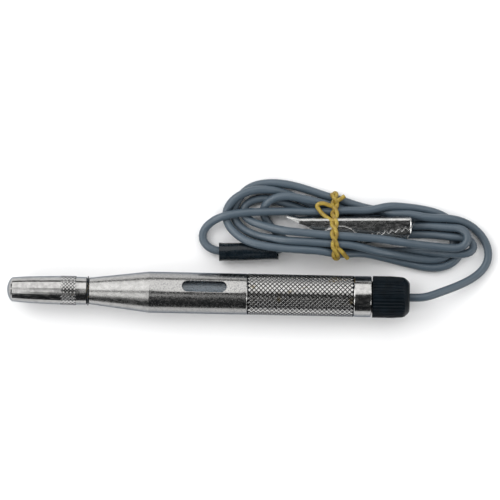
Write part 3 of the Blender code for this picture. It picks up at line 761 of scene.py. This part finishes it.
def add_nose_knurl(knurled):
    ring = knurled_ring(
        "nose_cap_knurl", RING_START, RING_END, RING_RADIUS, RING_DEPTH, 26, 0.56 * MM, knurled
    )
    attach(ring, "nose_cap")


def band_loop(lead):
    """Where the band runs: a smoothed loop round the lead's runs, kept above the floor.
    The clip isn't part of it, so the band cuts into the back of the upper jaw."""
    near = lead[np.abs(lead[:, 0] - BAND_X) < 1.5 * MM]
    near = near[near[:, 1] > 8 * MM]
    reach = CORD_DIAMETER / 2 + BAND_REACH
    angles = np.linspace(0, math.tau, 72, endpoint=False)
    ways = np.stack([np.cos(angles), np.sin(angles)], axis=1)
    around = (near[:, None, 1:] + reach * ways[None]).reshape(-1, 2)
    centre = around.mean(axis=0)
    outline = convex_outline(around)
    outline = np.vstack([outline, outline[:1]])
    lengths = np.linalg.norm(np.diff(outline, axis=0), axis=1)
    travelled = np.concatenate([[0.0], np.cumsum(lengths)])
    marks = np.linspace(0, travelled[-1], 260, endpoint=False)
    loop = np.stack([np.interp(marks, travelled, outline[:, i]) for i in range(2)], axis=1)
    for _ in range(30):
        loop = 0.5 * loop + 0.25 * (np.roll(loop, 1, axis=0) + np.roll(loop, -1, axis=0))
    loop[:, 0] = centre[0] + BAND_WAIST * (loop[:, 0] - centre[0])
    loop[:, 1] = np.maximum(loop[:, 1], BAND_LOWEST)
    return loop, centre


def convex_outline(points):
    """The corners of the tightest outline round some points, in order."""
    ordered = sorted(map(tuple, points))

    def half(sequence):
        chain = []
        for point in sequence:
            while len(chain) > 1:
                (ax, ay), (bx, by) = chain[-2], chain[-1]
                if (bx - ax) * (point[1] - ay) - (by - ay) * (point[0] - ax) > 0:
                    break
                chain.pop()
            chain.append(point)
        return chain[:-1]

    return np.array(half(ordered) + half(reversed(ordered)))


def add_band(lead, rubber):
    """Two rubber strands twisted together round the hank, with a loop and loose ends."""
    loop, centre = band_loop(lead)
    count = len(loop)
    tangent = np.roll(loop, -1, axis=0) - np.roll(loop, 1, axis=0)
    tangent /= np.linalg.norm(tangent, axis=1)[:, None]
    outward = np.stack([tangent[:, 1], -tangent[:, 0]], axis=1)
    outward *= np.sign(((loop - centre) * outward).sum(axis=1))[:, None]
    strands = []
    share = np.arange(count) / count
    lean = BAND_LEAN * (loop[:, 0] - centre[0])
    sway = BAND_SWAY * np.sin(share * math.tau * 2 + 0.6) - lean
    for number in range(2):
        twist = share * math.tau * BAND_TWISTS + number * math.pi
        x = BAND_X + sway + BAND_SPREAD * np.sin(twist)
        lift = BAND_LIFT * np.cos(twist)
        path = np.column_stack([x, loop + outward * lift[:, None]])
        name = f"tie_strand_{number}"
        strands.append(curve_tube(name, path, BAND_RADIUS, rubber, closed=True, resolution=3))
    far, high, middle, near = (crest_height(loop, y) for y in (32.0, 29.0, 24.5, 13.2))
    bight = [
        (40.3, 27.8, high + 0.7), (38.0, 28.6, high + 0.9), (35.5, 29.3, 5.9),
        (33.9, 28.6, 5.6), (34.4, 27.4, 5.9), (36.0, 25.6, 6.4),
        (38.4, 24.0, middle + 0.2), (40.4, 23.6, middle + 0.7),
    ]
    far_end = [(39.4, 29.8, high + 0.5), (41.0, 30.6, far + 1.2), (42.6, 31.8, 3.9)]
    near_end = [(40.6, 15.2, near + 0.8), (42.2, 13.8, near + 0.6), (43.8, 12.0, 7.0)]
    for number, route in enumerate((bight, far_end, near_end)):
        path = smooth_route(np.array(route) * MM, 0.4 * MM)
        name = f"tie_end_{number}"
        strands.append(curve_tube(name, path, BAND_END_RADIUS, rubber, resolution=3))
    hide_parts("rubber_band")
    for strand in strands:
        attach(strand, "tester")
    return strands


def crest_height(loop, across):
    """How high the band's upper side stands at a place across the hank, in millimetres."""
    upper = loop[loop[:, 1] > loop[:, 1].mean() * 0.6]
    order = np.argsort(upper[:, 0])
    return float(np.interp(across, upper[order, 0] / MM, upper[order, 1])) / MM


def add_sleeve(black):
    """A soft sleeve, a little flattened and creased, its far mouth cut at a slant."""
    along = SLEEVE_END - SLEEVE_START
    length = np.linalg.norm(along)
    along = along / length
    side = np.array([-along[1], along[0], 0.0])
    rows, around = 60, 64
    builder = bmesh.new()
    surfaces = []
    for inner in (False, True):
        rings = []
        for row in range(rows + 1):
            share = row / rows
            ring = []
            for i in range(around):
                angle = i / around * math.tau
                # In millimetres: a crease along the top, shallow dents, a lip at the near mouth
                fold = 0.2 * math.exp(-(((angle - 1.9) / 0.16) ** 2)) * math.sin(share * 2.6 + 0.3)
                dent = 0.1 * math.sin(3 * angle + 5 * share) * math.sin(math.pi * share)
                lip = 0.12 * math.exp(-((share * 22) ** 2))
                outer = SLEEVE_RADIUS - (0.12 + fold + dent - lip) * MM
                radius = outer - SLEEVE_WALL if inner else outer
                slant = SLEEVE_SLANT * share * math.cos(angle - 1.2)
                across = radius * math.cos(angle)
                up = radius * math.sin(angle)
                place = SLEEVE_START + along * (share * length - max(0.0, slant)) + side * across
                ring.append(builder.verts.new((place[0], place[1], place[2] + up)))
            rings.append(ring)
        surfaces.append(rings)
        for ring, following in zip(rings, rings[1:]):
            for i in range(around):
                j = (i + 1) % around
                builder.faces.new((ring[i], ring[j], following[j], following[i]))
    for end in (0, -1):
        outer, inner = surfaces[0][end], surfaces[1][end]
        for i in range(around):
            j = (i + 1) % around
            builder.faces.new((outer[i], outer[j], inner[j], inner[i]))
    sleeve = mesh_object("sleeve_skin", builder, black, 50.0)
    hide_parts("clip_sleeve")
    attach(sleeve, "tester")
    return sleeve


def between(x, points):
    """The height at x of the line through some points."""
    xs, ys = zip(*sorted(points))
    return float(np.interp(x, xs, ys))


def tooth_edge(drop):
    """Zigzag along the line where the jaws meet, lowered by drop, in millimetres."""
    points = []
    for tooth in range(2 * TOOTH_COUNT + 1):
        along = CLIP_TIP - tooth * TOOTH_PITCH / 2
        rise = TOOTH_DEPTH / 2 * (-1) ** tooth
        points.append((along, BITE_HEIGHT + BITE_SLOPE * along + rise - drop))
    return points


def jaw_section(back, edge, half):
    """Half of the bent sheet's section, from its middle to its edge: (across, up)."""
    bend = min(BACK_BEND, half - 0.1)
    turn = math.pi / 2
    if edge > back - bend:
        turn = math.acos(min(1.0, (edge - back + bend) / bend))
    section = [(0.0, back)]
    for step in range(9):
        angle = turn * step / 8
        place = (half - bend + bend * math.sin(angle), back - bend + bend * math.cos(angle))
        section.append(place)
    across, start = section[-1]
    for step in range(1, 6):
        section.append((across, start + (min(edge, start) - start) * step / 5))
    return section


def pressed_jaw(name, side, back, edge, half_width, material, edge_highlight_metal):
    """A jaw bent from sheet, round at its back: side is 1 with its back up, else -1."""
    first = max(min(back)[0], min(edge)[0])
    places = {x for x, _ in back + edge if x >= first}
    places |= set(np.linspace(first, CLIP_TIP, JAW_ROWS).tolist())
    places |= set(np.linspace(CLIP_TIP - TIP_ROUND, CLIP_TIP, TIP_ROWS).tolist())
    axes = clip_rotation()
    builder = bmesh.new()
    rows = []
    for x in sorted(places):
        near = max(0.0, (x - CLIP_TIP + TIP_ROUND) / TIP_ROUND)
        inset = TIP_ROUND * (1 - math.sqrt(max(0.0, 1 - near**2)))
        half = between(x, half_width) - inset
        section = jaw_section(side * between(x, back) - inset, side * between(x, edge), half)
        outline = [(-across, up) for across, up in reversed(section[1:])] + section
        row = []
        for across, up in outline:
            local = np.array([x, side * up, across]) * MM
            row.append(builder.verts.new(CLIP_PIVOT + axes @ local))
        rows.append(row)
    for row, following in zip(rows, rows[1:]):
        for i in range(len(row) - 1):
            builder.faces.new((row[i], row[i + 1], following[i + 1], following[i]))
    builder.faces.new(rows[-1])
    bmesh.ops.remove_doubles(builder, verts=builder.verts, dist=0.01 * MM)
    jaw = mesh_object(name, builder, material, 30.0)
    sheet = jaw.modifiers.new("sheet", "SOLIDIFY")
    sheet.thickness = CLIP_SHEET
    sheet.offset = -1
    hole = jaw.modifiers.new("pin_hole", "BOOLEAN")
    hole.solver = "EXACT"
    hole.object = pin_cutter()
    edges = jaw.modifiers.new("edges", "BEVEL")
    edges.width = 0.1 * MM
    edges.use_clamp_overlap = False
    edges.segments = 2
    edges.limit_method = "ANGLE"
    edges.angle_limit = math.radians(50)
    # The bevel faces take a brighter metal: a painted highlight along the jaws' edges.
    edges.material = 1
    jaw.data.materials.append(edge_highlight_metal)
    apply_modifiers(jaw)
    bpy.data.objects.remove(bpy.data.objects["pin_cutter"])
    jaw.data.shade_smooth()
    jaw.data.set_sharp_from_angle(angle=math.radians(35))
    return jaw


def pin_cutter():
    """A rod through both jaws where the clip's pin goes."""
    axes = clip_rotation()
    builder = bmesh.new()
    rings = []
    for depth in (-4.0, 4.0):
        ring = []
        for i in range(24):
            angle = i / 24 * math.tau
            local = np.array([PIN_HOLE * math.cos(angle), PIN_HOLE * math.sin(angle), depth]) * MM
            ring.append(builder.verts.new(CLIP_PIVOT + axes @ local))
        rings.append(ring)
        builder.faces.new(ring)
    for i in range(24):
        j = (i + 1) % 24
        builder.faces.new((rings[0][i], rings[0][j], rings[1][j], rings[1][i]))
    return mesh_object("pin_cutter", builder, bpy.data.materials.new("cutter"))


def add_clip(nickel, edge_highlight_metal):
    """Both jaws; their backs, edges and half widths are in millimetres."""
    upper = pressed_jaw(
        "clip_upper_skin",
        1,
        [(-16.5, 7.7), (-12.6, 6.9), (CLIP_TIP, 6.9)],
        [(-16.5, 7.25), (-12.7, 5.3), (-11.4, 4.9), (-8.5, 3.6), (-4.6, 1.4), (-2.2, -1.0)]
        + [(0.0, -1.7), (2.2, -1.0), (7.0, 1.2)] + tooth_edge(0.0),
        [(-16.5, 1.4), (-12.6, 2.0), (CLIP_TIP, 2.0)],
        nickel,
        edge_highlight_metal,
    )
    lower = pressed_jaw(
        "clip_lower_skin",
        -1,
        [(-13.0, -3.2), (-1.0, -3.1), (21.9, 0.9), (CLIP_TIP, 1.7)],
        [(-13.0, -1.2), (-8.0, -1.0), (-6.4, 0.2), (-4.4, 3.2), (-2.0, 4.65), (1.6, 4.65)]
        + [(3.8, 3.8), (5.4, 2.4), (6.6, 1.5), (7.4, 0.5), (9.6, 1.0)] + tooth_edge(0.3),
        [(-13.0, 2.75), (5.4, 2.75), (9.4, 2.0), (CLIP_TIP, 2.0)],
        nickel,
        edge_highlight_metal,
    )
    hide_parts("clip_upper_jaw")
    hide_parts("clip_lower_jaw")
    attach(upper, "clip_jaw")
    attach(lower, "tester")
    return [upper, lower]


def as_mesh(item):
    """The same piece with its curve turned into a mesh."""
    evaluated = item.evaluated_get(bpy.context.evaluated_depsgraph_get())
    mesh = bpy.data.meshes.new_from_object(evaluated)
    name = item.name
    bpy.data.objects.remove(item)
    piece = bpy.data.objects.new(name, mesh)
    bpy.context.collection.objects.link(piece)
    return piece


def add_contact_spring(steel):
    """The coil behind the plunger; here it keeps its rest length and does not shorten as the
    plunger is pressed.
    """
    start, end = SPRING_START + SPRING_WIRE, SPRING_END - SPRING_WIRE
    points = []
    for i in range(SPRING_TURNS * 24 + 1):
        share = i / (SPRING_TURNS * 24)
        angle = share * SPRING_TURNS * math.tau
        points.append(pen_point(start + (end - start) * share, SPRING_RADIUS, angle))
    spring = as_mesh(curve_tube("contact_coil", points, SPRING_WIRE, steel, resolution=3))
    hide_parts("contact_spring")
    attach(spring, "tester")
    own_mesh(spring)


def add_clip_spring(steel):
    """The torsion spring: its coil and lower leg stay, its upper leg turns with the jaw."""
    axes = clip_rotation()

    def wound(i):
        angle = math.radians(115) - i / 24 * math.tau
        return (
            COIL_RADIUS * math.cos(angle),
            COIL_RADIUS * math.sin(angle),
            COIL_HALF * (i / 36 - 1),
        )

    leg = [(-8.0, 4.9, -COIL_HALF), (-2.4, 2.6, -COIL_HALF), wound(0), wound(1), wound(2)]
    coil = [wound(i) for i in range(73)] + [(-3.0, -1.2, COIL_HALF), (-8.0, -2.35, COIL_HALF)]
    pieces = []
    halves = (("clip_spring_leg", leg, "clip_jaw"), ("clip_spring_coil", coil, "tester"))
    for name, route, body in halves:
        places = CLIP_PIVOT + np.array(route) * MM @ axes.T
        pieces.append(curve_tube(name, places, COIL_WIRE * MM, steel, resolution=3))
        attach(pieces[-1], body)
    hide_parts("clip_spring")
    return pieces


def dress(names, material):
    """Give CAD nodes a material."""
    for name in names:
        for slot in NODES[name].material_slots:
            slot.material = material


# ---------------------------------------------------------------- stage


def add_stage():
    """A pale floor."""
    floor_recipe = Recipe("floor_paper", (0.9, 0.9, 0.9), 0.9)
    floor_recipe.colours(
        floor_recipe.noise(30.0), [(0.3, (0.9, 0.9, 0.905)), (0.7, (0.93, 0.93, 0.93))]
    )
    builder = bmesh.new()
    bmesh.ops.create_grid(builder, x_segments=1, y_segments=1, size=3.0)
    floor = mesh_object("floor", builder, floor_recipe.material)


def add_light(name, place, aim, size, power):
    """A flat panel of light, size by size, turned to face its aim."""
    data = bpy.data.lights.new(name, "AREA")
    data.shape = "RECTANGLE"
    data.size, data.size_y = size
    data.energy = power
    light = bpy.data.objects.new(name, data)
    light.location = place
    way = Vector(aim) - Vector(place)
    light.rotation_euler = way.to_track_quat("-Z", "Y").to_euler()
    bpy.context.collection.objects.link(light)


def add_lights():
    """One big panel beyond the lead; the others stand clear of what the straight sides mirror."""
    aim = (0.0, 0.01, 0.0)
    add_light("key_panel", (-0.15, 0.6, 0.66), aim, (1.7, 1.15), 10.5)
    add_light("left_panel", (-0.9, 0.4, 0.7), aim, (0.9, 0.8), 7.0)
    add_light("right_panel", (1.0, 0.3, 0.7), aim, (0.9, 0.8), 4.0)
    add_light("right_front_panel", (0.95, -0.55, 0.7), aim, (0.7, 0.7), 6.0)
    add_light("left_front_panel", (-0.95, -0.55, 0.7), aim, (0.7, 0.7), 5.0)
    # The cone and the tapered nose cap mirror this one; the satin takes a little of its light.
    add_light("cone_panel", (-0.41, -0.46, 0.72), (-0.03, 0.0, 0.0), (0.35, 1.1), 1.9)
    world = bpy.data.worlds.new("studio")
    world.use_nodes = True
    background = world.node_tree.nodes["Background"]
    background.inputs["Color"].default_value = (0.8, 0.9, 1.0, 1.0)
    background.inputs["Strength"].default_value = 0.02
    bpy.context.scene.world = world
    bpy.context.scene.view_settings.view_transform = "Standard"


# ---------------------------------------------------------------- the object

add_camera()

sheath = lead_material()
line = lay_lead(FULL_ROUNDS)
line = softened(line, SOFTENING_ROUNDS)
lead = curve_tube("test_lead", line, CORD_DIAMETER / 2, sheath, resolution=5)
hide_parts("cord_lead", "cord_hank", "cord_tail")
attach(lead, "tester")

bright = bright_nickel("nickel_bright")
satin = satin_nickel("nickel_satin")
cone = bright_nickel("nickel_cone", roughness=0.24)
clip_nickel = bright_nickel("clip_nickel", (0.46, 0.46, 0.45), 0.22, 0.35)
steel = turned_metal("steel_wire", (0.5, 0.5, 0.51), 0.28)
brass = turned_metal("turned_brass", (0.72, 0.55, 0.25), 0.28)
black = worn_plastic("cap_plastic", (0.002, 0.004, 0.006), (0.004, 0.008, 0.012), 0.36)
sleeve_black = worn_plastic(
    "sleeve_rubber", (0.002, 0.005, 0.008), (0.004, 0.009, 0.014), 0.26, 1200.0, 0.06, 0.35
)
# Near-black washer: its dark colour is partly the washer's own and partly painted shade for the
# gap between nose cap and barrel.
washer_and_gap_shade = worn_plastic("washer_and_gap_shade", (0.012, 0.016, 0.02), (0.03, 0.035, 0.04), 0.4)
rubber = rubber_material()

dress(["nose_cap"], bright)
dress(["nose_washer"], washer_and_gap_shade)
dress(["clip_pin"], clip_nickel)
dress(["lamp_front_cap", "lamp_rear_cap"], bright)
dress(["probe_needle", "cord_collar"], steel)
dress(["probe_collet", "front_contact", "contact_plunger", "cord_terminal"], brass)
dress(["end_cap"], black)
dress(["window_tube"], clear_material("clear_tube", (0.5, 0.57, 0.63), 0.05, 1.45, 0.9))
dress(["lamp_glass"], clear_material("lamp_clear", (0.8, 0.84, 0.88), 0.03, 1.47, 0.8))
dress(["lamp_filament"], turned_metal("filament_wire", (0.35, 0.35, 0.37), 0.35))
dress(["rear_insulator"], worn_plastic("insulator", (0.55, 0.54, 0.5), (0.68, 0.66, 0.6), 0.5))
dress(["cap_washer"], worn_plastic("pressed_fibre", (0.2, 0.07, 0.03), (0.32, 0.12, 0.06), 0.7))
dress(["tail_conductor"], turned_metal("bare_copper", (0.72, 0.36, 0.2), 0.3))

# The last number sets how dark the painted shade on the diamonds' flanks is.
grip_metal = knurl_nickel("nickel_knurl", BARREL_RADIUS, KNURL_DEPTH, 0.055)
ring_metal = knurl_nickel("nickel_ring", RING_RADIUS, RING_DEPTH, 0.22)
add_barrel(satin, cone, bright, grip_metal)
add_nose_knurl(ring_metal)
sleeve = add_sleeve(sleeve_black)
ties = add_band(line, rubber)
# The clip's bevelled edges get a brighter metal as a painted highlight.
jaws = add_clip(clip_nickel, turned_metal("clip_edge_highlight", (0.85, 0.85, 0.84), 0.45))
springs = add_clip_spring(steel)
add_contact_spring(steel)

for name, width in (("end_cap", 0.12), ("nose_cap", 0.05)):
    edge = NODES[name].modifiers.new("edge", "BEVEL")
    edge.width = width * MM
    edge.segments = 3
    edge.limit_method = "ANGLE"
    edge.angle_limit = math.radians(40)

add_stage()
add_lights()
